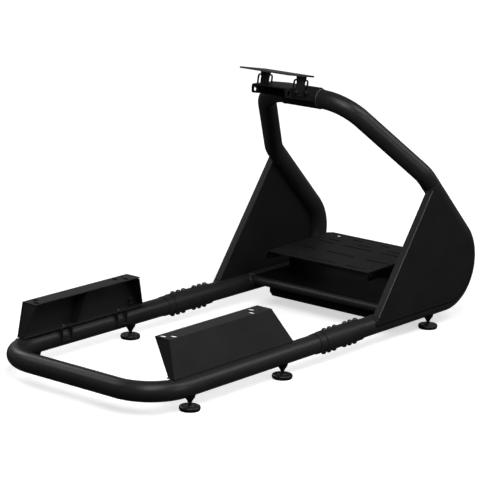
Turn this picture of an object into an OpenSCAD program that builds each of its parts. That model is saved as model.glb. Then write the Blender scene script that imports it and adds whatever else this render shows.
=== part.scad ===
// Driving-seat frame of bent round steel tube: a U-shaped rear frame for the seat, a front frame
// that rises to a hoop with a tilted wheel deck, and a pedal plate between two closed side panels.
// The driver faces +Y. Z is up, and z = 0 is the floor under the levelling feet.
// The origin is on the floor, under the middle of the whole frame.

/* [Frame tube] */
// Outer diameter of the frame tube
tube_d = 50; // [45:0.5:55]
// Length over the frame tubes
frame_l = 1324; // [1280:1:1360]
// Distance between the centrelines of the two legs
leg_span = 506; // [490:1:520]
// Height of the leg centreline over the floor
leg_z = 60; // [56:0.5:66]
// Centreline radius of the two rear corners
corner_r = 110; // [95:1:125]
// Centreline radius of the front bend, in side view
front_r = 105.5; // [98:0.5:112]
// Angle of the sloping tubes and the hoop to the floor
incline = 45.2; // [44:0.1:46]

/* [Hoop] */
// Distance from the corner of leg and slope to the corner where the hoop turns inwards
slope_l = 513; // [500:1:525]
// Angle by which each side of the hoop leans inwards
lean = 23.7; // [22:0.1:26]
// Centreline radius of the lower hoop bends
lower_r = 85; // [70:1:100]
// Centreline radius of the upper hoop bends
upper_r = 107; // [98:1:112]
// Half length of the straight top
top_half = 58.7; // [56:0.1:62]

/* [Leg couplings] */
// Distance from the rear end of the frame to the middle of a coupling
coupling_at = 735; // [715:1:755]
// Length of a coupling sleeve
sleeve_l = 158; // [140:1:170]
// Wall of a coupling sleeve
sleeve_wall = 3; // [2:0.5:4]
// Length of the split collar behind a sleeve
collar_l = 26; // [20:1:30]

/* [Side panels] */
// Thickness of a closed side panel
panel_t = 20; // [16:0.5:22]
// Sheet that the panels are folded from
sheet = 2.5; // [2:0.5:3]
// Distance from the rear end to the foot of a panel's rear edge
panel_foot = 853; // [835:1:870]
// Angle of a panel's rear edge to the floor
panel_rake = 53.9; // [52:0.1:56]

/* [Pedal deck] */
// Width of the pedal plate
pedal_w = 338; // [330:1:345]
// Depth of the pedal plate
pedal_l = 276; // [270:1:280]
// Thickness of the pedal plate
pedal_t = 3; // [2.5:0.5:6]
// Distance from the rear end to the near edge of the pedal plate
pedal_at = 967; // [955:1:975]
// Height of the underside at the near edge
pedal_z = 164; // [155:0.5:170]
// Rise of the pedal plate towards the front
pedal_rise = 1.5; // [0:0.1:4]
// Diameter of the two cross tubes between the legs
cross_d = 24; // [20:1:28]
// Height of the centrelines of the cross tubes
cross_z = 72; // [68:1:74]
// Distance from the rear end to the first cross tube
cross_at = 985; // [975:1:995]
// Distance from the first cross tube to the second one
cross_step = 175; // [165:1:185]
// Width of the tray that lies on the cross tubes
tray_w = 452; // [440:1:454]
// Depth of the tray
tray_l = 245; // [200:1:250]
// Width of the lip that is folded down behind the first cross tube
lip_w = 368; // [350:1:380]
// Height of the lip's lower edge over the floor
lip_z = 34; // [30:1:38]

/* [Seat brackets] */
// Length of the top flange of a seat bracket
seat_l = 377; // [350:1:400]
// Distance from the rear end to the rear edge of a seat bracket
seat_at = 95; // [90:1:120]
// Height of the top face
seat_z = 181; // [170:1:190]
// Width of the top flange
seat_w = 45; // [40:1:50]
// Distance from the middle of the frame to the inner edge of the top flange
seat_x = 194; // [188:1:198]

/* [Feet] */
// Diameter of a foot pad
pad_d = 52; // [44:1:60]
// Height of a foot pad
pad_h = 10; // [8:0.5:14]
// Distances from the rear end to the three feet of each leg
foot_at = [156, 505, 1131]; // [150:1:1140]

/* [Wheel deck] */
// Width of the wheel plate
deck_w = 160; // [150:1:180]
// Depth of the wheel plate
deck_l = 107; // [100:1:112]
// Thickness of the wheel plate
deck_t = 4.5; // [3:0.5:6]
// Angle by which the wheel plate falls towards the front
deck_tilt = 9.5; // [6:0.5:12]
// Height of the plate's underside over the ears
deck_z = 695; // [690:0.5:700]

/* [Hidden] */
$fn = 96;

tube_r = tube_d / 2;
leg_x = leg_span / 2;
back_y = -frame_l / 2;
rear_y = back_y + tube_r;
bend_y = frame_l / 2 - tube_r - front_r;
bend_z = leg_z + front_r;
join_y = back_y + coupling_at;
// The two centrelines of leg and slope meet at this Y
apex_y = bend_y + front_r * tan((180 - incline) / 2);
// Steps along the slope, from the apex
slope_start = front_r * tan((180 - incline) / 2);
seam = slope_l - 40;
upper_x = top_half + upper_r * tan((90 - lean) / 2);
hoop_top = slope_l + (leg_x - upper_x) / tan(lean);
hoop_y = apex_y - hoop_top * cos(incline);
hoop_z = leg_z + hoop_top * sin(incline);
bend_swell = 0.1;
lap = 1;
// Gap between faces that lie against each other on two pieces
seat_gap = 0.3;
// Sheet of the seat brackets, the pedal tray and the pedal uprights
plate_t = 2.5;
bracket_y = back_y + seat_at;
seat_top_x = seat_x + seat_w;
seat_low_x = leg_x + 4;
seat_low_z = leg_z + tube_r + 1;
seat_low_l = 445;
// Slots in a seat bracket's top flange, as distances from its inner and its rear edge
seat_slots = [[13.5, 15], [32, 31], [13.5, seat_l - 39], [32, seat_l - 60]];
seat_slot_l = 20;
seat_slot_w = 13;
// Distances from the rear end to the two tabs under each seat bracket
tab_at = [240, 443];
// Slots for pedals, as [distance from the near edge, middle of the outer pair, its length,
// length of the slot in the middle]
pedal_rows = [[21, 102, 46, 97], [102, 122, 82, 97], [180, 107, 58, 103], [209, 102, 42, 47],
    [244, 48, 32, 0]];
pedal_slot_w = 7;

// Everything over the hoop top is set out from the middle of the ears, in the tilted deck frame
ear_y = back_y + 799;
ear_h = 52;
ear_t = 4;
slot_y = 21.5;
slot_w = 11;
slot_travel = 25.5;
bolt_d = 10;
bolt_drop = 42;
// Side plates of the cradle: outer face, sheet, and the rear end with its hole
cheek_x = 56;
cheek_t = 4;
nose_y = back_y + 738;
nose_top = 669;
nose_low = 645;
nose_hole = [back_y + 751, 655];
nose_hole_d = 14;
// Where the top edge of the cradle bends down towards the hoop
crest = [back_y + 825, 665];
crest_end = [hoop_y + 7, hoop_z + tube_r + 3.5];
tray_top = cross_z + cross_d / 2 + plate_t;

// Draws its children on the right (+X) side, or mirrored on the left
module on_side(side) {
    if (side == "right") children();
    else mirror([1, 0, 0]) children();
}

// Lays its children, drawn in X and Y, upright along the YZ plane at x
module side_view(x) {
    translate([x, 0, 0]) rotate([90, 0, 90]) children();
}

// Lays its children, drawn in X and Y, into the sloping plane of the hoop, with Y up the slope
module hoop_view() {
    translate([0, apex_y, leg_z]) rotate([180 - incline, 0, 0]) children();
}

// Part ring of the frame tube about Z, from angle a over the sweep. A bend swells a hair over the
// drawn tube, so that the end of each straight sits inside it.
module bend(r, a, sweep) {
    rotate([0, 0, a]) rotate_extrude(angle = sweep) translate([r, 0]) circle(d = tube_d + bend_swell);
}

// Straight length of tube in the XY plane, from p in direction a. Each end that meets a bend runs
// on into it by lap, and an end that is free has a lap of 0.
module straight(p, a, l, laps = [lap, lap]) {
    translate([p[0], p[1], 0]) rotate([0, 0, a]) translate([-laps[0], 0, 0]) rotate([0, 90, 0])
        cylinder(d = tube_d, h = l + laps[0] + laps[1]);
}

// Slot of length l and width w, lying along X, with its middle at p
module slot(p, l, w) {
    translate(p) for (s = [-1, 1]) translate([s * (l - w) / 2, 0]) circle(d = w);
    translate(p) square([l - w, w], center = true);
}

module rear_frame_tube() {
    color("#242426") translate([0, 0, leg_z]) {
        straight([-leg_x + corner_r, rear_y], 0, leg_span - 2 * corner_r);
        for (side = ["left", "right"]) on_side(side) {
            translate([leg_x - corner_r, rear_y + corner_r, 0]) bend(corner_r, -90, 90);
            straight([leg_x, rear_y + corner_r], 90, join_y - rear_y - corner_r, [lap, 0]);
        }
    }
}

module leg_tube(side) {
    color("#242426") on_side(side) {
        translate([0, 0, leg_z]) straight([leg_x, join_y], 90, bend_y - join_y, [0, lap]);
        side_view(leg_x) translate([bend_y, bend_z, 0]) bend(front_r, -90, 180 - incline);
        hoop_view() straight([leg_x, slope_start], 90, seam - slope_start, [lap, 0]);
    }
}

module hoop_tube() {
    lower_y = slope_l - lower_r * tan(lean / 2);
    upper_y = hoop_top - upper_r;
    lower_end = [leg_x - lower_r + lower_r * cos(lean), lower_y + lower_r * sin(lean)];
    upper_start = [top_half + upper_r * cos(lean), upper_y + upper_r * sin(lean)];
    color("#242426") hoop_view() {
        straight([-top_half, hoop_top], 0, 2 * top_half);
        for (side = ["left", "right"]) on_side(side) {
            straight([leg_x, seam], 90, lower_y - seam, [0, lap]);
            translate([leg_x - lower_r, lower_y, 0]) bend(lower_r, 0, lean);
            straight(lower_end, 90 + lean, norm(upper_start - lower_end));
            translate([top_half, upper_y, 0]) bend(upper_r, lean, 90 - lean);
        }
    }
}

module coupling_sleeve(side) {
    color("#2a2a2c") on_side(side) translate([leg_x, join_y - sleeve_l / 2, leg_z]) rotate([-90, 0, 0])
        difference() {
            cylinder(d = tube_d + 2 * sleeve_wall, h = sleeve_l);
            translate([0, 0, -lap]) cylinder(d = tube_d, h = sleeve_l + 2 * lap);
        }
}

module coupling_collar(side) {
    color("#2a2a2c") on_side(side)
        translate([leg_x, join_y - sleeve_l / 2 - collar_l, leg_z]) rotate([-90, 0, 0]) difference() {
            cylinder(d = tube_d + sleeve_wall, h = collar_l);
            translate([0, 0, -lap]) cylinder(d = tube_d, h = collar_l + 2 * lap);
        }
}

// Both ends are saddle cut over the legs
module cross_tube(step) {
    y = back_y + cross_at + step;
    color("#242426") difference() {
        translate([-leg_x, y, cross_z]) rotate([0, 90, 0]) cylinder(d = cross_d, h = leg_span);
        for (s = [-1, 1]) translate([s * leg_x, y - tube_d, leg_z]) rotate([-90, 0, 0])
            cylinder(d = tube_d, h = 2 * tube_d);
    }
}

// Outline of a side panel in side view, kept a gap away from the tube's centreline
module panel_outline(gap) {
    foot_y = back_y + panel_foot;
    // Longer than any panel
    far = 900;
    bend_end = [bend_y + (front_r - gap) * sin(incline), bend_z + (front_r - gap) * cos(incline)];
    slope_far = [apex_y - far * cos(incline) - gap * sin(incline),
        leg_z + far * sin(incline) - gap * cos(incline)];
    intersection() {
        // What lies in front of the raked rear edge
        behind_edge(0, far);
        // What lies over the leg and under the slope
        union() {
            polygon([[foot_y - lap, leg_z + gap], [bend_y, leg_z + gap], [bend_y, bend_z],
                bend_end, slope_far]);
            translate([bend_y, bend_z]) circle(r = front_r - gap);
        }
    }
}

// Strip along the raked rear edge of a panel, in front of it, from one depth to another
module behind_edge(from, to) {
    far = 900;
    translate([back_y + panel_foot, leg_z]) rotate(panel_rake) translate([-lap, -to])
        square([far, to - from]);
}

// Outer sheet of a panel with the flange along its raked edge
module side_panel(side) {
    outer_x = leg_x + tube_r;
    color("#1c1c1e") on_side(side) {
        side_view(outer_x - sheet) linear_extrude(sheet)
            panel_outline(sqrt(pow(tube_r, 2) - pow(tube_r - sheet, 2)));
        side_view(outer_x - panel_t) linear_extrude(panel_t - sheet) intersection() {
            panel_outline(tube_r - seat_gap);
            behind_edge(0, sheet);
        }
    }
}

// Inner sheet of a panel
module panel_lining(side) {
    color("#1c1c1e") on_side(side) side_view(leg_x + tube_r - panel_t) linear_extrude(sheet)
        difference() {
            panel_outline(tube_r - seat_gap);
            behind_edge(-lap, sheet);
        }
}

module pedal_plate_outline() {
    corner = 12;
    polygon([[-pedal_w / 2, 0], [pedal_w / 2, 0], [pedal_w / 2, pedal_l - corner],
        [pedal_w / 2 - corner, pedal_l], [-pedal_w / 2 + corner, pedal_l],
        [-pedal_w / 2, pedal_l - corner]]);
}

// A plate with its two sides folded down
module pedal_plate() {
    flange_h = 20;
    // Holes near the corners, each [distance from the middle, from the near edge, diameter]
    holes = [[148.5, 41, 7], [134, 20, 8], [121, pedal_l - 20, 16]];
    color("#3c3c3e") translate([0, back_y + pedal_at, pedal_z]) rotate([pedal_rise, 0, 0]) {
        linear_extrude(pedal_t) difference() {
            pedal_plate_outline();
            for (row = pedal_rows) {
                for (s = [-1, 1]) slot([s * row[1], row[0]], row[2], pedal_slot_w);
                if (row[3] > 0) slot([0, row[0]], row[3], pedal_slot_w);
            }
            for (s = [-1, 1], hole = holes) translate([s * hole[0], hole[1]]) circle(d = hole[2]);
        }
        for (s = [-1, 1]) translate([s * (pedal_w - pedal_t) / 2, 0, 0])
            rotate([0, 90, 0]) linear_extrude(pedal_t, center = true)
                polygon([[0, 3], [flange_h, 8], [flange_h, pedal_l - 40], [0, pedal_l - 25]]);
    }
}

// L-shaped side plate: its arm runs along the plate's folded side, its leg stands on the tray
module pedal_upright(side) {
    near_y = back_y + pedal_at - 4;
    leg_y = near_y + 102;
    far_y = leg_y + 62;
    arm_z = pedal_z - 19;
    corner = 4;
    color("#242426") on_side(side) side_view(pedal_w / 2) linear_extrude(plate_t)
        polygon([[near_y + corner, arm_z], [near_y, arm_z + corner], [near_y, pedal_z - corner],
            [near_y + corner, pedal_z], [far_y, pedal_z + corner], [far_y, tray_top],
            [leg_y, tray_top], [leg_y, arm_z]]);
}

// Sheet that lies on the cross tubes, with a lip folded down behind the first one
module pedal_tray() {
    corner = 10;
    y0 = back_y + cross_at;
    lip_y = y0 + cross_d / 2 + plate_t;
    low_z = tray_top - plate_t;
    color("#242426") {
        translate([-tray_w / 2, y0, low_z]) cube([tray_w, tray_l, plate_t]);
        translate([0, lip_y, 0]) rotate([90, 0, 0]) linear_extrude(plate_t)
            polygon([[-lip_w / 2, low_z], [-lip_w / 2, lip_z + corner], [-lip_w / 2 + corner, lip_z],
                [lip_w / 2 - corner, lip_z], [lip_w / 2, lip_z + corner], [lip_w / 2, low_z]]);
    }
}

// Cross-section of a seat bracket, seen along Y: top flange, leaning web and foot flange
module bracket_section() {
    foot_w = 24;
    polygon([[seat_x, seat_z], [seat_top_x, seat_z], [seat_low_x, seat_low_z],
        [seat_low_x - foot_w, seat_low_z], [seat_low_x - foot_w, seat_low_z + plate_t],
        [seat_low_x - plate_t, seat_low_z + plate_t], [seat_top_x - plate_t, seat_z - plate_t],
        [seat_x, seat_z - plate_t]]);
}

module seat_bracket(side) {
    low_l = seat_low_l;
    edge_h = 4;
    small_hole = [34, seat_l - 30.5];
    color("#2e2e30") on_side(side) difference() {
        translate([0, bracket_y + low_l, 0]) rotate([90, 0, 0]) linear_extrude(low_l)
            bracket_section();
        // Sloping front end
        side_view(seat_x - lap) linear_extrude(2 * tube_d)
            polygon([[bracket_y + seat_l, seat_z + lap], [bracket_y + low_l, seat_low_z + edge_h],
                [bracket_y + low_l + lap, seat_z + lap]]);
        translate([seat_x, bracket_y, seat_z - 2 * plate_t]) linear_extrude(3 * plate_t) {
            for (p = seat_slots) slot(p, seat_slot_l, seat_slot_w);
            translate(small_hole) circle(d = 9.5);
        }
    }
}

// Plates that stiffen a seat bracket: upright ones at its rear end and in its middle, and one
// that follows its sloping front end
module seat_gussets(side) {
    low_w = 18;
    top_z = seat_z - plate_t;
    rise = top_z - seat_low_z - plate_t;
    run = (seat_low_l - seat_l) * rise / (seat_z - seat_low_z);
    slant = atan(run / rise);
    top = [seat_x, seat_top_x - plate_t - seat_gap];
    low = [seat_low_x - plate_t - low_w, seat_low_x - plate_t - seat_gap];
    color("#2e2e30") on_side(side) {
        for (y = [1, seat_l / 2]) translate([0, bracket_y + y + plate_t, top_z])
            rotate([90, 0, 0]) linear_extrude(plate_t)
                polygon([[top[0], 0], [top[1], 0], [low[1], -rise], [low[0], -rise]]);
        translate([0, bracket_y + seat_l - 1, top_z]) rotate([90 + slant, 0, 0])
            linear_extrude(plate_t) polygon([[top[0], -plate_t], [top[1], -plate_t],
                [low[1] - seat_gap, plate_t - norm([rise, run])], [low[0], plate_t - norm([rise, run])]]);
    }
}

// Folded U-shaped tab, welded on the inner side of the leg under the foot of a seat bracket
module seat_tab(side, at) {
    width = 37;
    wall = 3;
    inner_x = leg_x - tube_r - 4;
    low_z = leg_z - 6;
    high_z = seat_low_z;
    color("#2a2a2c") on_side(side) translate([inner_x, back_y + at - width / 2, low_z]) difference() {
        cube([leg_x - 8 - inner_x, width, high_z - low_z]);
        translate([-lap, wall, wall]) cube([tube_d, width - 2 * wall, tube_d]);
        translate([leg_x - inner_x, -lap, leg_z - low_z]) rotate([-90, 0, 0])
            cylinder(r = tube_r, h = width + 2 * lap);
    }
}

module foot(side, at) {
    stem_d = 12;
    boss_h = 12;
    boss_d = 28;
    color("#1c1c1e") on_side(side) translate([leg_x, back_y + at, 0]) difference() {
        union() {
            cylinder(d = pad_d, h = pad_h);
            cylinder(d = stem_d, h = leg_z - tube_r + 1);
            translate([0, 0, leg_z - tube_r + 2 - boss_h]) cylinder(d1 = stem_d, d2 = boss_d, h = boss_h);
        }
        translate([0, 0, leg_z]) rotate([90, 0, 0]) cylinder(d = tube_d, h = 2 * tube_d, center = true);
    }
}

module deck_view() {
    translate([0, ear_y, deck_z]) rotate([-deck_tilt, 0, 0]) children();
}

// The four bolts that hold the ears to the cradle, drawn on one side from x outwards
module ear_bolts(x, d, l) {
    for (s = [-1, 1]) deck_view() translate([x, s * slot_y, -bolt_drop]) rotate([0, 90, 0])
        cylinder(d = d, h = l);
}

module hoop_sleeve() {
    half_l = cheek_x - cheek_t;
    wall = 1.5;
    color("#2a2a2c") translate([-half_l, hoop_y, hoop_z]) rotate([0, 90, 0]) difference() {
        cylinder(r = tube_r + wall, h = 2 * half_l);
        translate([0, 0, -lap]) cylinder(r = tube_r, h = 2 * half_l + 2 * lap);
    }
}

// Folded channel, open below: two side plates notched over the hoop, and the sheet between them
module wheel_cradle() {
    web_t = 3;
    corner = 4;
    color("#242426") {
        for (side = ["left", "right"]) on_side(side) difference() {
            side_view(cheek_x - cheek_t) linear_extrude(cheek_t) difference() {
                polygon([[nose_y, nose_low + corner], [nose_y + corner, nose_low],
                    [back_y + 777, nose_low - 6], [hoop_y - tube_r, hoop_z - 5],
                    [hoop_y, hoop_z], crest_end, crest, [nose_y + corner, nose_top],
                    [nose_y, nose_top - corner]]);
                translate([hoop_y, hoop_z]) circle(r = tube_r);
                translate(nose_hole) circle(d = nose_hole_d);
            }
            ear_bolts(0, bolt_d, 2 * cheek_x);
        }
        side_view(-cheek_x + cheek_t) linear_extrude(2 * (cheek_x - cheek_t))
            polygon([[nose_y + corner, nose_top], crest, crest_end,
                crest_end - [0, web_t / 2], crest - [0, web_t],
                [nose_y + corner, nose_top - web_t]]);
    }
}

module deck_bolts() {
    head_d = 16;
    head_h = 5;
    color("#4a4a4c") for (side = ["left", "right"]) on_side(side) {
        ear_bolts(cheek_x - cheek_t, bolt_d, cheek_t + ear_t + 1);
        ear_bolts(cheek_x + ear_t + 2 * seat_gap, head_d, head_h);
    }
}

// Upright plate under the wheel plate, with a slot for each bolt. Its neck is narrower, and a
// rim goes round the top of each slot.
module deck_ear(side) {
    neck = 19;
    rim = 3;
    top_y = -bolt_drop + slot_travel;
    half_w = slot_y + slot_w / 2 + rim;
    color("#242426") on_side(side) deck_view() side_view(cheek_x + seat_gap)
        linear_extrude(ear_t) difference() {
            union() {
                translate([-half_w, -ear_h]) square([2 * half_w, top_y + ear_h]);
                translate([-neck, -ear_h]) square([2 * neck, ear_h]);
                for (s = [-1, 1]) translate([s * slot_y, top_y]) circle(d = slot_w + 2 * rim);
            }
            for (s = [-1, 1]) translate([s * slot_y, top_y - slot_travel / 2]) rotate(90)
                slot([0, 0], slot_travel + slot_w, slot_w);
        }
}

module wheel_plate() {
    front = 24;
    hole_x = 45;
    hole_rows = [-66, -22];
    hole_l = 24;
    hole_w = 7;
    color("#3a3a3c") deck_view() linear_extrude(deck_t) difference() {
        translate([-deck_w / 2, front - deck_l]) square([deck_w, deck_l]);
        for (x = [-hole_x, hole_x], y = hole_rows) slot([x, y], hole_l, hole_w);
    }
}

rear_frame_tube();
leg_tube("left");  // left_leg_tube
leg_tube("right");  // right_leg_tube
hoop_tube();
coupling_sleeve("left");  // left_coupling_sleeve
coupling_sleeve("right");  // right_coupling_sleeve
coupling_collar("left");  // left_coupling_collar
coupling_collar("right");  // right_coupling_collar
cross_tube(0);  // rear_cross_tube
cross_tube(cross_step);  // front_cross_tube
side_panel("left");  // left_side_panel
side_panel("right");  // right_side_panel
panel_lining("left");  // left_panel_lining
panel_lining("right");  // right_panel_lining
pedal_plate();
pedal_upright("left");  // left_pedal_upright
pedal_upright("right");  // right_pedal_upright
pedal_tray();
seat_bracket("left");  // left_seat_bracket
seat_bracket("right");  // right_seat_bracket
seat_gussets("left");  // left_seat_gussets
seat_gussets("right");  // right_seat_gussets
seat_tab("left", tab_at[0]);  // left_rear_seat_tab
seat_tab("left", tab_at[1]);  // left_front_seat_tab
seat_tab("right", tab_at[0]);  // right_rear_seat_tab
seat_tab("right", tab_at[1]);  // right_front_seat_tab
foot("left", foot_at[0]);  // left_rear_foot
foot("right", foot_at[0]);  // right_rear_foot
foot("left", foot_at[1]);  // left_middle_foot
foot("right", foot_at[1]);  // right_middle_foot
foot("left", foot_at[2]);  // left_front_foot
foot("right", foot_at[2]);  // right_front_foot
hoop_sleeve();
wheel_cradle();
deck_bolts();
deck_ear("left");  // left_deck_ear
deck_ear("right");  // right_deck_ear
wheel_plate();
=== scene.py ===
import math

import bpy
from mathutils import Matrix, Vector


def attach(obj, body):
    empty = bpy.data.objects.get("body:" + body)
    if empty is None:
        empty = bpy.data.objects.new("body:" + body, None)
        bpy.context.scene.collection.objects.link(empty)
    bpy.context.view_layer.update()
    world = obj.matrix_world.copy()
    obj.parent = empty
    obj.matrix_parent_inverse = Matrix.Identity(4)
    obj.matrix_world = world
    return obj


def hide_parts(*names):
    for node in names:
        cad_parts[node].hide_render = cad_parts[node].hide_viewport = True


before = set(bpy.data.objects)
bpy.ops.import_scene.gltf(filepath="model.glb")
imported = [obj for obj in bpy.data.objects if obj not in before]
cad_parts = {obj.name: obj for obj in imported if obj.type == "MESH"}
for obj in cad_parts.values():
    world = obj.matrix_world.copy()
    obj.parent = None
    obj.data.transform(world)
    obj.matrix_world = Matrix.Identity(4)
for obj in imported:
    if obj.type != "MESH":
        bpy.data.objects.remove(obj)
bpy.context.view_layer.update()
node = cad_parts

# The frame tube: steel tube of 50 mm, bent and welded, under a satin black powder coat. The rear
# frame slides into the two legs, and the hoop is welded on the slopes of the legs.
SHADE_SPREAD, MATT_SPREAD = 0.20, 0.06


def powder_coat(name, colour, roughness, gloss, fold=0.0, grain=420.0, depth=0.00006):
    """Satin powder coat: an orange-peel skin of the given grain and depth, with a fine speckle.
    fold rounds the sharp folds of sheet metal by that radius, in the shading."""
    coat = bpy.data.materials.new(name)
    coat.use_nodes = True
    nodes, links = coat.node_tree.nodes, coat.node_tree.links
    shader = nodes["Principled BSDF"]
    place = nodes.new("ShaderNodeTexCoord")
    drift = nodes.new("ShaderNodeTexNoise")
    drift.inputs["Scale"].default_value = 11.0
    drift.inputs["Detail"].default_value = 3.0
    peel = nodes.new("ShaderNodeTexNoise")
    peel.inputs["Scale"].default_value = grain
    peel.inputs["Detail"].default_value = 3.0
    for noise in (drift, peel):
        links.new(place.outputs["Object"], noise.inputs["Vector"])
    both = nodes.new("ShaderNodeMix")
    both.inputs["Factor"].default_value = 0.55
    links.new(drift.outputs["Fac"], both.inputs["A"])
    links.new(peel.outputs["Fac"], both.inputs["B"])
    shade = nodes.new("ShaderNodeValToRGB")
    shade.color_ramp.elements[0].position = 0.38
    shade.color_ramp.elements[0].color = [c * (1 - SHADE_SPREAD) for c in colour] + [1.0]
    shade.color_ramp.elements[1].position = 0.62
    shade.color_ramp.elements[1].color = [c * (1 + SHADE_SPREAD) for c in colour] + [1.0]
    links.new(both.outputs["Result"], shade.inputs["Fac"])
    links.new(shade.outputs["Color"], shader.inputs["Base Color"])
    matt = nodes.new("ShaderNodeMapRange")
    matt.inputs["From Min"].default_value = 0.3
    matt.inputs["From Max"].default_value = 0.7
    matt.inputs["To Min"].default_value = roughness - MATT_SPREAD
    matt.inputs["To Max"].default_value = roughness + MATT_SPREAD
    links.new(both.outputs["Result"], matt.inputs["Value"])
    links.new(matt.outputs["Result"], shader.inputs["Roughness"])
    bump = nodes.new("ShaderNodeBump")
    bump.inputs["Strength"].default_value = 0.35
    bump.inputs["Distance"].default_value = depth
    links.new(peel.outputs["Fac"], bump.inputs["Height"])
    if fold:
        edge = nodes.new("ShaderNodeBevel")
        edge.samples = 4
        edge.inputs["Radius"].default_value = fold
        links.new(edge.outputs["Normal"], bump.inputs["Normal"])
    links.new(bump.outputs["Normal"], shader.inputs["Normal"])
    shader.inputs["Specular IOR Level"].default_value = gloss
    return coat


def finish_in(material, *pieces):
    """Gives CAD nodes or pieces one finish."""
    for piece in pieces:
        piece.data.materials.clear()
        piece.data.materials.append(material)


tube_coat = powder_coat("tube_powder_coat", (0.0155, 0.0155, 0.0161), 0.36, 0.25)
finish_in(tube_coat, node["rear_frame_tube"], node["left_leg_tube"], node["right_leg_tube"],
          node["hoop_tube"])

# The weld where the hoop stands on each slope: a low bead all round the tube, ground nearly
# flush and powder coated with the frame.
LEG_X, TUBE_R = 0.253, 0.025
SEAM_Y, SEAM_Z, INCLINE = 0.4516, 0.3956, math.radians(45.2)
SEAM_SUNK, SEAM_BEAD = 0.0002, 0.0007
RIPPLE, RIPPLES_A_METRE = 0.10, 1400
SIDES = ((-1, "left"), (1, "right"))


def let_go():
    """Leaves edit mode with nothing selected."""
    if bpy.context.object and bpy.context.object.mode != "OBJECT":
        bpy.ops.object.mode_set(mode="OBJECT")
    bpy.ops.object.select_all(action="DESELECT")


def named(name):
    """The primitive just added, under its name and with its place kept in its mesh."""
    piece = bpy.context.object
    piece.name = piece.data.name = name
    bpy.ops.object.transform_apply(location=True, rotation=True, scale=True)
    return piece


def smooth(piece, angle=40):
    """Shades a piece smooth, but for edges sharper than angle."""
    let_go()
    piece.select_set(True)
    bpy.context.view_layer.objects.active = piece
    bpy.ops.object.shade_smooth_by_angle(angle=math.radians(angle))
    let_go()


def copied(piece, name, move):
    """A copy of piece with its own mesh, set in place by the matrix move."""
    copy = piece.copy()
    copy.data = piece.data.copy()
    copy.name = copy.data.name = name
    copy.data.transform(move)
    if move.determinant() < 0:
        copy.data.flip_normals()
    bpy.context.scene.collection.objects.link(copy)
    return copy


def part_of(body, slot, *pieces):
    """Lets pieces ride on a body. The slot is not used."""
    for piece in pieces:
        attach(piece, body)


def weld_ring(name, radius, bead):
    """A weld bead with its ripples round the X axis, at the origin."""
    let_go()
    bpy.ops.mesh.primitive_torus_add(major_segments=96, minor_segments=10,
                                     rotation=(0, math.pi / 2, 0),
                                     major_radius=radius, minor_radius=bead)
    ring = named(name)
    for v in ring.data.vertices:
        turn = math.atan2(v.co.z, v.co.y)
        swell = 1 + RIPPLE * math.cos(round(radius * RIPPLES_A_METRE) * turn)
        far = radius + (math.hypot(v.co.y, v.co.z) - radius) * swell
        v.co = (v.co.x * swell, far * math.cos(turn), far * math.sin(turn))
    smooth(ring, 70)
    return ring


seam = weld_ring("hoop_seam_pattern", TUBE_R - SEAM_SUNK, SEAM_BEAD)
finish_in(tube_coat, seam)
for side, name in SIDES:
    across_slope = (Matrix.Translation((side * LEG_X, SEAM_Y, SEAM_Z))
                    @ Matrix.Rotation(math.pi - INCLINE, 4, "X")
                    @ Matrix.Rotation(math.pi / 2, 4, "Z"))
    part_of("frame", "frame_black", copied(seam, f"{name}_hoop_seam", across_slope))
bpy.data.objects.remove(seam)

# The couplings: a sleeve pressed over each joint of the legs and a split collar behind it, held
# by six button-head bolts that pass down through sleeve and tube to lock nuts underneath.
LEG_Z, SLEEVE_R, BOLT_SUNK = 0.060, 0.028, 0.0009
COUPLING_BOLTS = [0.0085, 0.0300, 0.0517, 0.0949, 0.1165, 0.1380]
sleeve_coat = powder_coat("sleeve_powder_coat", (0.0150, 0.0150, 0.0156), 0.40, 0.21, fold=0.0012)
finish_in(sleeve_coat, node["left_coupling_sleeve"], node["right_coupling_sleeve"],
          node["left_coupling_collar"], node["right_coupling_collar"])
bolt_black = powder_coat("black_oxide_steel", (0.0210, 0.0210, 0.0216), 0.32, 0.45, grain=600.0,
                         depth=0.00002)


def pick(piece, wanted, kind="FACE"):
    """Selects in edit mode the faces or edges that answer to wanted."""
    bpy.ops.object.mode_set(mode="EDIT")
    bpy.ops.mesh.select_mode(type=kind)
    bpy.ops.mesh.select_all(action="DESELECT")
    bpy.ops.object.mode_set(mode="OBJECT")
    if kind == "FACE":
        for face in piece.data.polygons:
            face.select = wanted(face.center, face.normal)
    else:
        at = [v.co for v in piece.data.vertices]
        for edge in piece.data.edges:
            edge.select = wanted(at[edge.vertices[0]], at[edge.vertices[1]])
    bpy.ops.object.mode_set(mode="EDIT")


def raise_top(steps, top):
    """Extrudes the selected top faces upwards, each step as (rise, size), and returns the top."""
    for rise, size in steps:
        bpy.ops.mesh.extrude_region_move(TRANSFORM_OT_translate={"value": (0, 0, rise)})
        top += rise
        bpy.ops.transform.resize(value=(size, size, 1), center_override=(0, 0, top))
    return top


def cut_away(piece, tool):
    """Takes the shape of tool out of piece."""
    let_go()
    piece.select_set(True)
    bpy.context.view_layer.objects.active = piece
    cut = piece.modifiers.new("cut", "BOOLEAN")
    cut.object = tool
    cut.operation = "DIFFERENCE"
    bpy.ops.object.modifier_apply(modifier=cut.name)
    bpy.data.objects.remove(tool)


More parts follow.
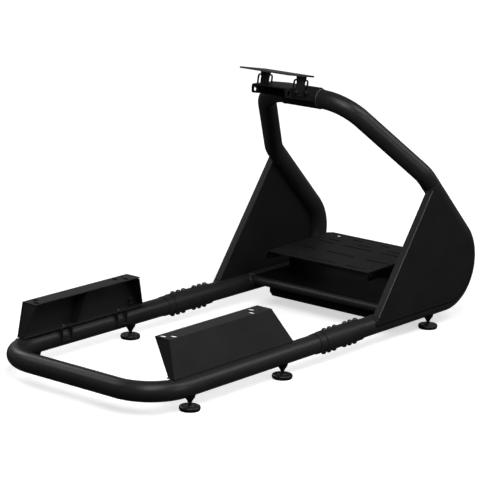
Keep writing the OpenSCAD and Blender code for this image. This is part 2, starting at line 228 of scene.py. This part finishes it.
def button_head(name, radius, height, washer=0.0):
    """A button-head bolt's head with its hexagon socket, on a washer if it has one, seated at the
    origin and pointing up. Its outline is given in shares of its radius and height."""
    let_go()
    foot = radius + washer
    bpy.ops.mesh.primitive_cylinder_add(vertices=32, radius=foot, depth=height * 0.25,
                                        location=(0, 0, height * 0.125))
    head = named(name)
    pick(head, lambda at, n: n.z > 0.9)
    steps = [(0, radius / foot * 0.98)] if washer else []
    raise_top(steps + [(height * 0.28, 1.0), (height * 0.25, 0.90), (height * 0.16, 0.80),
                       (height * 0.08, 0.75)], height * 0.25)
    let_go()
    bpy.ops.mesh.primitive_cylinder_add(vertices=6, radius=radius * 0.50, depth=height,
                                        location=(0, 0, height * 0.98))
    cut_away(head, named("socket"))
    smooth(head)
    finish_in(bolt_black, head)
    return head


def lock_nut(name, across, height):
    """A hexagon nut with its turned collar, seated at the origin and pointing up. Its outline is
    given in shares of its width across flats and its height."""
    let_go()
    bpy.ops.mesh.primitive_cylinder_add(vertices=6, radius=across / math.sqrt(3),
                                        depth=height * 0.65, location=(0, 0, height * 0.325))
    nut = named(name)
    pick(nut, lambda at, n: n.z > 0.9)
    bpy.ops.mesh.inset(thickness=across * 0.10)
    bpy.ops.mesh.extrude_region_move(TRANSFORM_OT_translate={"value": (0, 0, height * 0.2)})
    bpy.ops.mesh.inset(thickness=across * 0.10)
    bpy.ops.mesh.extrude_region_move(TRANSFORM_OT_translate={"value": (0, 0, height * 0.15)})
    pick(nut, lambda a, b: True, "EDGE")
    bpy.ops.mesh.bevel(offset=across * 0.03, segments=2)
    smooth(nut)
    finish_in(bolt_black, nut)
    return nut


coupling_head = button_head("coupling_bolt_pattern", 0.0068, 0.0062)
coupling_nut = lock_nut("coupling_nut_pattern", 0.0125, 0.0070)
for side, name in SIDES:
    for i, y in enumerate(COUPLING_BOLTS):
        over = Matrix.Translation((side * LEG_X, y, LEG_Z + SLEEVE_R - BOLT_SUNK))
        under = (Matrix.Translation((side * LEG_X, y, LEG_Z - SLEEVE_R + BOLT_SUNK))
                 @ Matrix.Rotation(math.pi, 4, "X"))
        part_of("frame", "bolt_black", copied(coupling_head, f"{name}_coupling_bolt_{i + 1}", over),
                copied(coupling_nut, f"{name}_coupling_nut_{i + 1}", under))
for pattern in (coupling_head, coupling_nut):
    bpy.data.objects.remove(pattern)

# The two cross tubes: thin steel tube between the legs, saddle cut at both ends and welded all
# round, under the same powder coat as the frame. The weld beads are lighter: a painted highlight.
CROSS_R, CROSS_Z, CROSS_Y = 0.012, 0.072, (0.323, 0.498)
CROSS_BEAD, BEAD_SUNK = 0.0024, 0.0006
# The weld coat is lighter than the frame's coat: a painted highlight on the beads.
weld_highlight_coat = powder_coat("weld_painted_highlight", (0.0300, 0.0300, 0.0308), 0.36, 0.5, grain=700.0)
finish_in(tube_coat, node["rear_cross_tube"], node["front_cross_tube"])
for side, name in SIDES:
    for y, place in zip(CROSS_Y, ("rear", "front")):
        bead = weld_ring(f"{name}_{place}_cross_weld", CROSS_R + BEAD_SUNK, CROSS_BEAD)
        for v in bead.data.vertices:
            z = CROSS_Z + CROSS_R * math.sin(math.atan2(v.co.z, v.co.y)) - LEG_Z
            reach = LEG_X - math.sqrt(max(TUBE_R ** 2 - z ** 2, 0))
            v.co = (side * (reach - BEAD_SUNK) + v.co.x, y + v.co.y, CROSS_Z + v.co.z)
        finish_in(weld_highlight_coat, bead)
        part_of("frame", "frame_black", bead)

# The side panels: two steel sheets folded round the corner between leg and slope and welded to
# the tube, so that the outer sheet runs out flush into the tube's side in a soft fillet.
PANEL_FOOT, BEND_Y, BEND_Z, RAKE = 0.191, 0.5315, 0.1655, math.radians(53.9)
FILLET_START, FILLET_SLOPE = 0.197, 0.213
FILLET_SECTION = [(0.2780, 0.0608), (0.27795, 0.0712), (0.2752, 0.0712), (0.2765, 0.0660)]
panel_coat = powder_coat("panel_powder_coat", (0.0112, 0.0112, 0.0117), 0.44, 0.15, fold=0.0030)
# The lining is the panel's coat made darker: painted shade on the inner faces.
shaded_lining_coat = powder_coat("lining_painted_shade", (0.0072, 0.0072, 0.0076), 0.50, 0.14,
                          fold=0.0015)
finish_in(panel_coat, node["left_side_panel"], node["right_side_panel"])
finish_in(shaded_lining_coat, node["left_panel_lining"], node["right_panel_lining"])
let_go()
bpy.ops.mesh.primitive_plane_add(size=0.01, rotation=(math.pi / 2, 0, 0))
fillet = named("right_panel_fillet")
corners = [fillet.data.vertices[i] for i in fillet.data.polygons[0].vertices]
for v, (x, z) in zip(corners, FILLET_SECTION):
    v.co = (x, FILLET_START, z)
pick(fillet, lambda at, n: True)
bpy.ops.mesh.extrude_region_move(TRANSFORM_OT_translate={"value": (0, BEND_Y - FILLET_START, 0)})
bpy.ops.mesh.spin(steps=40, angle=INCLINE - math.pi, center=(0, BEND_Y, BEND_Z), axis=(1, 0, 0))
up_slope = Vector((0, -math.cos(INCLINE), math.sin(INCLINE)))
bpy.ops.mesh.extrude_region_move(TRANSFORM_OT_translate={"value": up_slope * FILLET_SLOPE})
bpy.ops.mesh.select_all(action="SELECT")
bpy.ops.mesh.remove_doubles(threshold=0.00001)
bpy.ops.mesh.normals_make_consistent(inside=False)
smooth(fillet, 60)
finish_in(panel_coat, fillet)
other_side = Matrix.Scale(-1, 4, (1, 0, 0))
part_of("frame", "panel_black", fillet, copied(fillet, "left_panel_fillet", other_side))

# The closing pieces at both ends of each panel's folded edge: the fold is filled up to the round
# of the tube and welded there.
CLOSINGS = (("lower", 0.0130, 0.0312), ("upper", 0.4010, 0.4160))
CLOSING_INNER, CLOSING_OUTER = 0.2583, 0.2776
CLOSING_TOP, CLOSING_DEEP, CLOSING_ROUND = 0.00005, 0.0024, 0.0006
along_edge = Vector((0, math.cos(RAKE), math.sin(RAKE)))
into_panel = Vector((0, math.sin(RAKE), -math.cos(RAKE)))
edge_foot = Vector((0, PANEL_FOOT, LEG_Z))


def runs_along_edge(a, b):
    """Whether the line from a to b runs along the fold of the right panel."""
    return abs((a - b).dot(along_edge)) > 0.01


for place, start, end in CLOSINGS:
    let_go()
    bpy.ops.mesh.primitive_cube_add(size=1.0)
    plug = named(f"right_{place}_panel_closing")
    for v in plug.data.vertices:
        out = Vector((CLOSING_INNER if v.co.x < 0 else CLOSING_OUTER, 0, 0))
        up = start if v.co.y < 0 else end
        deep = CLOSING_TOP if v.co.z < 0 else CLOSING_DEEP
        v.co = edge_foot + along_edge * up + into_panel * deep + out
    pick(plug, lambda at, n: True)
    bpy.ops.mesh.normals_make_consistent(inside=False)
    pick(plug, runs_along_edge, "EDGE")
    bpy.ops.mesh.bevel(offset=CLOSING_ROUND, segments=3)
    smooth(plug)
    finish_in(panel_coat, plug)
    part_of("frame", "panel_black", plug, copied(plug, f"left_{place}_panel_closing", other_side))

# The folded edge of each panel: a thin round bead on the sheet's outer bend, from the leg up to the
# hoop. It is coloured far lighter than the panel, so that it shows as a bright line: a painted
# highlight.
FOLD_X, FOLD_R, FOLD_SUNK, FOLD_START, FOLD_END = 0.2771, 0.0012, 0.0008, 0.0300, 0.4020
# The bead's light colour is a painted highlight, not the colour of the coat.
fold_highlight_coat = powder_coat("fold_painted_highlight", (0.0290, 0.0290, 0.0298), 0.34, 0.50, grain=700.0)
let_go()
bpy.ops.mesh.primitive_cylinder_add(vertices=16, radius=FOLD_R, depth=1.0)
fold_line = named("right_panel_fold_highlight")
for v in fold_line.data.vertices:
    up = FOLD_START if v.co.z < 0 else FOLD_END
    v.co = (edge_foot + along_edge * up + into_panel * (v.co.y + FOLD_SUNK)
            + Vector((FOLD_X + v.co.x, 0, 0)))
pick(fold_line, runs_along_edge, "EDGE")
bpy.ops.mesh.subdivide(number_cuts=8)
bpy.ops.mesh.select_all(action="SELECT")
bpy.ops.mesh.normals_make_consistent(inside=False)
smooth(fold_line, 60)
finish_in(fold_highlight_coat, fold_line)
part_of("frame", "panel_black", fold_line, copied(fold_line, "left_panel_fold_highlight", other_side))

# The pedal deck: a slotted steel plate on two L-shaped side plates, which stand on a folded tray
# over the cross tubes. One bolt a side holds the plate, and the tray's front edge is folded up.
PEDAL_SIDE, PEDAL_BOLT_Y, PEDAL_BOLT_Z = 0.1715, 0.3124, 0.1560
LIP_X, LIP_Y, LIP_Z = 0.200, 0.5667, 0.0925
LIP_THICK, LIP_HIGH, LIP_ROUND = 0.0025, 0.0130, 0.0008
pedal_coat = powder_coat("pedal_powder_coat", (0.0100, 0.0100, 0.0104), 0.50, 0.14, fold=0.0012)
# Tray, uprights, their bolts and the tray's lip lie under the plate: their near-black coat is
# painted shade.
under_plate_shade_coat = powder_coat("tray_painted_shade", (0.0034, 0.0034, 0.0036), 0.55, 0.07, fold=0.0012)
finish_in(pedal_coat, node["pedal_plate"])
finish_in(under_plate_shade_coat, node["left_pedal_upright"], node["right_pedal_upright"],
          node["pedal_tray"])
pedal_head = button_head("pedal_bolt_pattern", 0.0060, 0.0050, washer=0.0010)
# The bolt heads take the same painted shade.
finish_in(under_plate_shade_coat, pedal_head)
for side, name in SIDES:
    seat = (Matrix.Translation((side * PEDAL_SIDE, PEDAL_BOLT_Y, PEDAL_BOLT_Z))
            @ Matrix.Rotation(side * math.pi / 2, 4, "Y"))
    part_of("frame", "bolt_black", copied(pedal_head, f"{name}_pedal_bolt", seat))
bpy.data.objects.remove(pedal_head)
let_go()
bpy.ops.mesh.primitive_cube_add(size=1.0)
tray_lip = named("pedal_tray_lip")
for v in tray_lip.data.vertices:
    v.co = (v.co.x * 2 * LIP_X, LIP_Y + v.co.y * LIP_THICK, LIP_Z + v.co.z * LIP_HIGH)
pick(tray_lip, lambda a, b: a.z > LIP_Z and b.z > LIP_Z, "EDGE")
bpy.ops.mesh.bevel(offset=LIP_ROUND, segments=3)
smooth(tray_lip)
# The lip takes the same painted shade.
finish_in(under_plate_shade_coat, tray_lip)
part_of("frame", "pedal_black", tray_lip)

# The seat brackets: folded steel channels with a leaning web, stiffened by three welded plates,
# which stand on U-shaped tabs on the inner side of the legs and are screwed down there.
TAB_X, TAB_Y, TAB_TOP = 0.2415, (("rear", -0.422), ("front", -0.219)), 0.0885
END_SEAT, END_LEAN = (0.2541, -0.5712, 0.0826), math.radians(20)
STUDS = (("upper", -0.1660, 0.110), ("lower", -0.1610, 0.0965))
WEB_TOP_X, WEB_TOP_Z, WEB_SLANT, WEB_THICK = 0.239, 0.181, 18 / 95, 0.0026
STUD_TURN = math.radians(100.7)
bracket_coat = powder_coat("bracket_powder_coat", (0.0215, 0.0215, 0.0220), 0.46, 0.17,
                           fold=0.0016)
finish_in(bracket_coat, node["left_seat_bracket"], node["right_seat_bracket"],
          node["left_seat_gussets"], node["right_seat_gussets"])
finish_in(sleeve_coat, node["left_rear_seat_tab"], node["left_front_seat_tab"],
          node["right_rear_seat_tab"], node["right_front_seat_tab"])
tab_head = button_head("seat_tab_bolt_pattern", 0.0062, 0.0050, washer=0.0014)
end_head = button_head("seat_end_bolt_pattern", 0.0036, 0.0026)
stud_nut = lock_nut("seat_nut_pattern", 0.0115, 0.0070)
for side, name in SIDES:
    for place, y in TAB_Y:
        part_of("frame", "bolt_black", copied(
            tab_head, f"{name}_{place}_tab_bolt",
            Matrix.Translation((side * TAB_X, y, TAB_TOP))))
    seat = Vector((side * END_SEAT[0], END_SEAT[1], END_SEAT[2]))
    part_of("frame", "bolt_black", copied(
        end_head, f"{name}_end_bolt",
        Matrix.Translation(seat) @ Matrix.Rotation(side * END_LEAN, 4, "Y")))
    for place, y, z in STUDS:
        web_x = WEB_TOP_X + (WEB_TOP_Z - z) * WEB_SLANT - WEB_THICK
        part_of("frame", "bolt_black", copied(
            stud_nut, f"{name}_{place}_stud_nut",
            Matrix.Translation((side * web_x, y, z))
            @ Matrix.Rotation(-side * STUD_TURN, 4, "Y")))
for pattern in (tab_head, end_head, stud_nut):
    bpy.data.objects.remove(pattern)

# The levelling feet: a moulded pad on a threaded stem, whose flared nut is welded under the leg.
# Each outline is turned up from the floor in steps of rise and size.
FEET_Y = {"rear": -0.506, "middle": -0.157, "front": 0.469}
PAD_R, PAD_EDGE = 0.0245, 0.0015
PAD_STEPS = [(0.0015, 0.0258 / PAD_R), (0.0045, 1.007), (0.0023, 0.955), (0.0010, 0.925),
             (-0.0009, 0.95), (0.0004, 0.55), (0.0024, 0.80), (0.0, 0.48), (0.0026, 1.0)]
THREADS, THREAD_STEPS = 4, [(0.0005, 0.86), (0.0007, 1 / 0.86)]
FLARE_STEPS = [(0.0, 1.25), (0.0022, 1.08), (0.0038, 1.40), (0.0045, 1.38), (0.0090, 1.18)]
pad_plastic = powder_coat("foot_plastic", (0.0058, 0.0058, 0.0061), 0.38, 0.30, grain=300.0,
                          depth=0.00005)
let_go()
bpy.ops.mesh.primitive_cylinder_add(vertices=64, radius=PAD_R, depth=PAD_EDGE,
                                    location=(0, 0, PAD_EDGE / 2))
foot = named("foot_pattern")
pick(foot, lambda at, n: n.z > 0.9)
top = raise_top(PAD_STEPS, PAD_EDGE)
for thread in range(THREADS):
    top = raise_top(THREAD_STEPS, top)
raise_top(FLARE_STEPS, top)
let_go()
bpy.ops.mesh.primitive_cylinder_add(vertices=96, radius=TUBE_R, depth=0.2, location=(0, 0, LEG_Z),
                                    rotation=(math.pi / 2, 0, 0))
cut_away(foot, named("leg_hollow"))
smooth(foot)
finish_in(pad_plastic, foot)
for side, name in SIDES:
    for place, y in FEET_Y.items():
        piece = copied(foot, f"{name}_{place}_levelling_foot",
                       Matrix.Translation((side * LEG_X, y, 0)))
        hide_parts(f"{name}_{place}_foot")
        part_of("frame", "foot_black", piece)
bpy.data.objects.remove(foot)

# The wheel cradle: a folded steel channel, notched over the hoop and welded to it all round, with
# a weld ring outside each of its side plates.
HOOP_Y, HOOP_Z, CHEEK_X = 0.2237, 0.62513, 0.056
CRADLE_BEAD, BEAD_OUT, BEAD_RAISED = 0.0018, 0.0010, 0.0004
cradle_coat = powder_coat("cradle_powder_coat", (0.0078, 0.0078, 0.0081), 0.42, 0.18,
                          fold=0.0012)
finish_in(cradle_coat, node["wheel_cradle"], node["hoop_sleeve"])
cradle_weld = weld_ring("right_cradle_weld", TUBE_R + BEAD_RAISED, CRADLE_BEAD)
for v in cradle_weld.data.vertices:
    v.co += Vector((CHEEK_X + BEAD_OUT, HOOP_Y, HOOP_Z))
# The ring's lighter coat is a painted highlight.
finish_in(weld_highlight_coat, cradle_weld)
part_of("frame", "frame_black", cradle_weld, copied(cradle_weld, "left_cradle_weld", other_side))

# The deck bolts: four bolts in the cradle's side plates, each with its washer against an ear of
# the wheel deck. They clamp the ears at the height that the driver wants.
TILT, EAR_Y, DECK_Z = math.radians(9.5), 0.137, 0.695
SLOT_Y, BOLT_DROP, EAR_FACE = 0.0215, 0.042, 0.0606
SHANK_R, SHANK_LONG, SHANK_SUNK, SHANK_TIP = 0.0049, 0.0096, 0.0046, 0.0008
deck_head = button_head("deck_bolt_pattern", 0.0064, 0.0085, washer=0.0012)
let_go()
bpy.ops.mesh.primitive_cylinder_add(vertices=32, radius=SHANK_R, depth=SHANK_LONG,
                                    location=(0, 0, -SHANK_SUNK))
deck_shank = named("deck_shank_pattern")
pick(deck_shank, lambda at, n: n.z < -0.9)
bpy.ops.mesh.inset(thickness=SHANK_TIP)
bpy.ops.mesh.extrude_region_move(TRANSFORM_OT_translate={"value": (0, 0, -SHANK_TIP)})
smooth(deck_shank)
finish_in(bolt_black, deck_shank)
finish_in(cradle_coat, deck_head)
for side, name in SIDES:
    for way, place in ((-1, "rear"), (1, "front")):
        y = EAR_Y + way * SLOT_Y * math.cos(TILT) - BOLT_DROP * math.sin(TILT)
        z = DECK_Z - way * SLOT_Y * math.sin(TILT) - BOLT_DROP * math.cos(TILT)
        seat = (Matrix.Translation((side * EAR_FACE, y, z))
                @ Matrix.Rotation(side * math.pi / 2, 4, "Y"))
        for pattern, what in ((deck_head, "head"), (deck_shank, "shank")):
            piece = copied(pattern, f"{name}_{place}_deck_bolt_{what}", seat)
            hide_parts("deck_bolts")
            part_of("frame", "bolt_black", piece)
for pattern in (deck_head, deck_shank):
    bpy.data.objects.remove(pattern)

# The wheel deck: a tilted steel plate on two slotted ears, which are welded under it with a bead
# along their inner side.
EAR_BEAD, EAR_BEAD_LONG, BEAD_DROP = 0.0018, 0.038, 0.0006
EAR_RIPPLE, RIPPLE_PACE = 0.12, 2400
deck_coat = powder_coat("deck_powder_coat", (0.0240, 0.0240, 0.0245), 0.38, 0.42, fold=0.0012)
finish_in(deck_coat, node["wheel_plate"])
finish_in(cradle_coat, node["left_deck_ear"], node["right_deck_ear"])
deck_frame = Matrix.Translation((0, EAR_Y, DECK_Z)) @ Matrix.Rotation(-TILT, 4, "X")
let_go()
bpy.ops.mesh.primitive_cylinder_add(vertices=12, radius=EAR_BEAD, depth=EAR_BEAD_LONG,
                                    rotation=(math.pi / 2, 0, 0), location=(CHEEK_X, 0, 0))
ear_weld = named("right_ear_weld")
pick(ear_weld, lambda a, b: abs(a.y - b.y) > 0.03, "EDGE")
bpy.ops.mesh.subdivide(number_cuts=24)
let_go()
for v in ear_weld.data.vertices:
    swell = 1 + EAR_RIPPLE * math.cos(v.co.y * RIPPLE_PACE)
    v.co = (CHEEK_X + (v.co.x - CHEEK_X) * swell, v.co.y, v.co.z * swell - BEAD_DROP)
ear_weld.data.transform(deck_frame)
smooth(ear_weld, 70)
# The bead's lighter coat is a painted highlight.
finish_in(weld_highlight_coat, ear_weld)
part_of("wheel_deck", "deck_black", ear_weld, copied(ear_weld, "left_ear_weld", other_side))

# The studio: a wide sheet of paper that the camera sees as white, and that throws only a little
# light back on the frame. PAPER_NEAR and PAPER_FAR give a distance and the paper's glow there.
PAPER_LIT, PAPER_SEEN, MIRRORED = 0.05, 0.80, 0.015
PAPER_NEAR, PAPER_FAR = (0.9, 0.60), (2.2, 1.0)
let_go()
bpy.ops.mesh.primitive_plane_add(size=30)
floor = named("studio_floor")
paper = bpy.data.materials.new("studio_paper")
paper.use_nodes = True
pn, pl = paper.node_tree.nodes, paper.node_tree.links
shader = pn["Principled BSDF"]
shader.inputs["Roughness"].default_value = 0.9
shader.inputs["Specular IOR Level"].default_value = 0.0
rays = pn.new("ShaderNodeLightPath")
seen = pn.new("ShaderNodeMath")
seen.operation = "MAXIMUM"
pl.new(rays.outputs["Is Camera Ray"], seen.inputs[0])
pl.new(rays.outputs["Is Transmission Ray"], seen.inputs[1])
pale = pn.new("ShaderNodeMix")
pale.data_type = "RGBA"
pale.inputs[6].default_value = (PAPER_LIT, PAPER_LIT, PAPER_LIT, 1)
pale.inputs[7].default_value = (PAPER_SEEN, PAPER_SEEN, PAPER_SEEN, 1)
pl.new(seen.outputs[0], pale.inputs[0])
pl.new(pale.outputs[2], shader.inputs["Base Color"])
place = pn.new("ShaderNodeTexCoord")
reach = pn.new("ShaderNodeVectorMath")
reach.operation = "LENGTH"
pl.new(place.outputs["Object"], reach.inputs[0])
spread = pn.new("ShaderNodeMapRange")
spread.inputs["From Min"].default_value, spread.inputs["To Min"].default_value = PAPER_NEAR
spread.inputs["From Max"].default_value, spread.inputs["To Max"].default_value = PAPER_FAR
pl.new(reach.outputs["Value"], spread.inputs["Value"])
gloss = pn.new("ShaderNodeMath")
gloss.operation = "MULTIPLY_ADD"
gloss.inputs[1].default_value = MIRRORED
pl.new(rays.outputs["Is Glossy Ray"], gloss.inputs[0])
pl.new(seen.outputs[0], gloss.inputs[2])
glow = pn.new("ShaderNodeMath")
glow.operation = "MULTIPLY"
pl.new(spread.outputs["Result"], glow.inputs[0])
pl.new(gloss.outputs[0], glow.inputs[1])
pl.new(glow.outputs[0], shader.inputs["Emission Strength"])
shader.inputs["Emission Color"].default_value = (1, 1, 1, 1)
finish_in(paper, floor)

# The room round the paper: white where the camera looks past it. To the frame it is a dim sky,
# brightest low down, that fills the shadows of the lamps.
SKY_LOW, SKY_HIGH = 0.24, 0.02
world = bpy.data.worlds.new("studio_world")
bpy.context.scene.world = world
world.use_nodes = True
wn, wl = world.node_tree.nodes, world.node_tree.links
background = wn["Background"]
background.inputs["Color"].default_value = (1, 1, 1, 1)
rays = wn.new("ShaderNodeLightPath")
clear = wn.new("ShaderNodeMath")
clear.operation = "MAXIMUM"
wl.new(rays.outputs["Is Camera Ray"], clear.inputs[0])
wl.new(rays.outputs["Is Transmission Ray"], clear.inputs[1])
sky = wn.new("ShaderNodeTexCoord")
height = wn.new("ShaderNodeSeparateXYZ")
wl.new(sky.outputs["Generated"], height.inputs[0])
soft = wn.new("ShaderNodeMapRange")
soft.inputs["To Min"].default_value = SKY_LOW
soft.inputs["To Max"].default_value = SKY_HIGH
wl.new(height.outputs["Z"], soft.inputs["Value"])
share = wn.new("ShaderNodeMath")
share.operation = "MULTIPLY_ADD"
share.inputs[1].default_value = MIRRORED
wl.new(rays.outputs["Is Glossy Ray"], share.inputs[0])
wl.new(soft.outputs["Result"], share.inputs[2])
lit = wn.new("ShaderNodeMath")
lit.operation = "MAXIMUM"
wl.new(share.outputs[0], lit.inputs[0])
wl.new(clear.outputs[0], lit.inputs[1])
wl.new(lit.outputs[0], background.inputs["Strength"])

# The lamps: seven softboxes round the frame, all at one distance and aimed at its middle. Their
# directions and powers follow the highlights on the tubes in the photo.
LAMP_AIM, LAMP_FAR = Vector((0, 0, 0.25)), 2.6


def soft_lamp(name, way, size, power):
    """A square softbox that stands in direction way from the middle of the frame."""
    lamp = bpy.data.objects.new(name, bpy.data.lights.new(name, "AREA"))
    lamp.data.shape = "SQUARE"
    lamp.data.size = size
    lamp.data.energy = power
    way = Vector(way).normalized()
    lamp.location = LAMP_AIM + way * LAMP_FAR
    lamp.rotation_euler = (-way).to_track_quat("-Z", "Y").to_euler()
    bpy.context.scene.collection.objects.link(lamp)


soft_lamp("key_softbox", (0.42, -0.38, 0.82), 1.5, 30)
soft_lamp("hoop_softbox", (0.63, 0.30, 0.72), 0.8, 12)
soft_lamp("camera_side_softbox", (0.50, -0.65, 0.57), 1.0, 16)
soft_lamp("rear_left_softbox", (-0.55, -0.56, 0.62), 1.0, 9.5)
soft_lamp("left_softbox", (-0.82, 0.00, 0.57), 1.0, 13)
soft_lamp("front_right_softbox", (0.57, 0.65, 0.50), 1.1, 9)
soft_lamp("low_right_softbox", (0.90, 0.10, 0.25), 0.8, 7.6)

# The camera: a long lens, standing where the photo was taken from. Its place and angles come
# from fitting the frame's outline to the photo.
CAMERA_AT, FOCAL_LENGTH = (3.50496, -4.31733, 1.63544), 167.69
turn, rise, roll = math.radians(39.23), math.radians(13.71), math.radians(1.38)
camera = bpy.data.objects.new("camera", bpy.data.cameras.new("camera"))
camera.data.sensor_width = 36.0
camera.data.lens = FOCAL_LENGTH
camera.data.clip_end = 100
forward = Vector((-math.sin(turn) * math.cos(rise), math.cos(turn) * math.cos(rise),
                  -math.sin(rise)))
right = Vector((math.cos(turn), math.sin(turn), 0))
up = right.cross(forward)
side_axis = right * math.cos(roll) + up * math.sin(roll)
up_axis = up * math.cos(roll) - right * math.sin(roll)
camera.matrix_world = (Matrix.Translation(CAMERA_AT)
                       @ Matrix((side_axis, up_axis, -forward)).transposed().to_4x4())
bpy.context.scene.collection.objects.link(camera)
bpy.context.scene.camera = camera
bpy.context.scene.view_settings.view_transform = "Standard"
